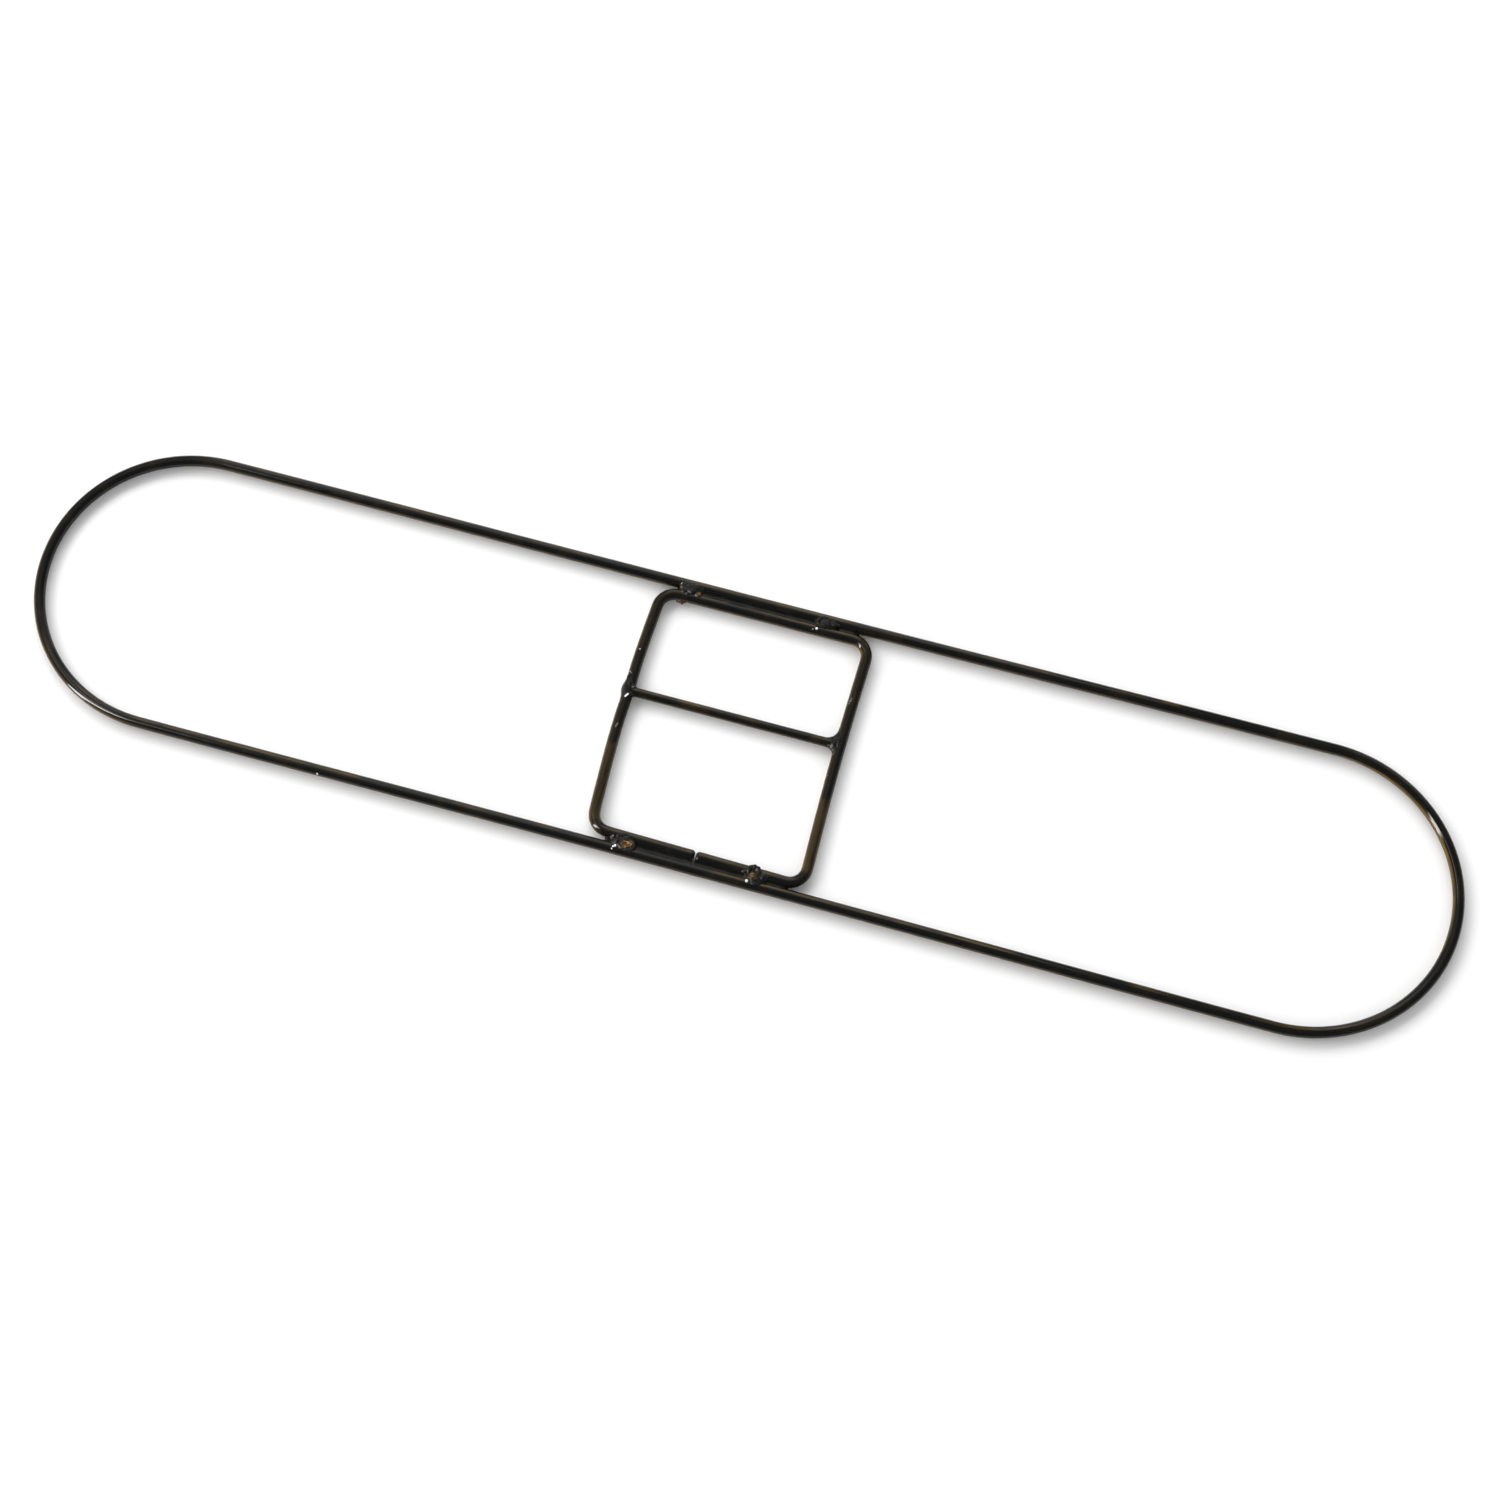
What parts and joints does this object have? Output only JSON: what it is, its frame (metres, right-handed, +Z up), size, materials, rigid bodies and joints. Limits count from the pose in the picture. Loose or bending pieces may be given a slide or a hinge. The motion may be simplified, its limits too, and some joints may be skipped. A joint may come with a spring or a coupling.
{
  "type": "dust mop frame",
  "caption": "Flat welded wire frame for a dust mop: a long round-ended loop with a small square frame and a cross rod for the handle's clip in its middle.",
  "frame": {"origin": "on the surface that the frame lies on, under the middle of the outer loop", "axes": "+X along the loop, towards the end further from the inner frame's bowed leg; +Y to the rear, the side that the cross rod is nearer to; +Z up, the side that carries the weld beads"},
  "size_m": [0.6096, 0.1234, 0.006],
  "materials": {
    "rod_lacquer": "thin gloss black lacquer on steel rod, with a brown tint where it thins",
    "weld_lacquer": "gloss black lacquer pooled over rough weld metal, amber where it is thin"
  },
  "bodies": {
    "root": {"outer_loop": "rod_lacquer", "inner_frame": "rod_lacquer", "cross_rod": "rod_lacquer", "rear_left_weld": "weld_lacquer", "rear_right_weld": "weld_lacquer", "front_left_weld": "weld_lacquer", "front_right_weld": "weld_lacquer", "left_cross_weld": "weld_lacquer", "right_cross_weld": "weld_lacquer"}
  },
  "joints": []
}
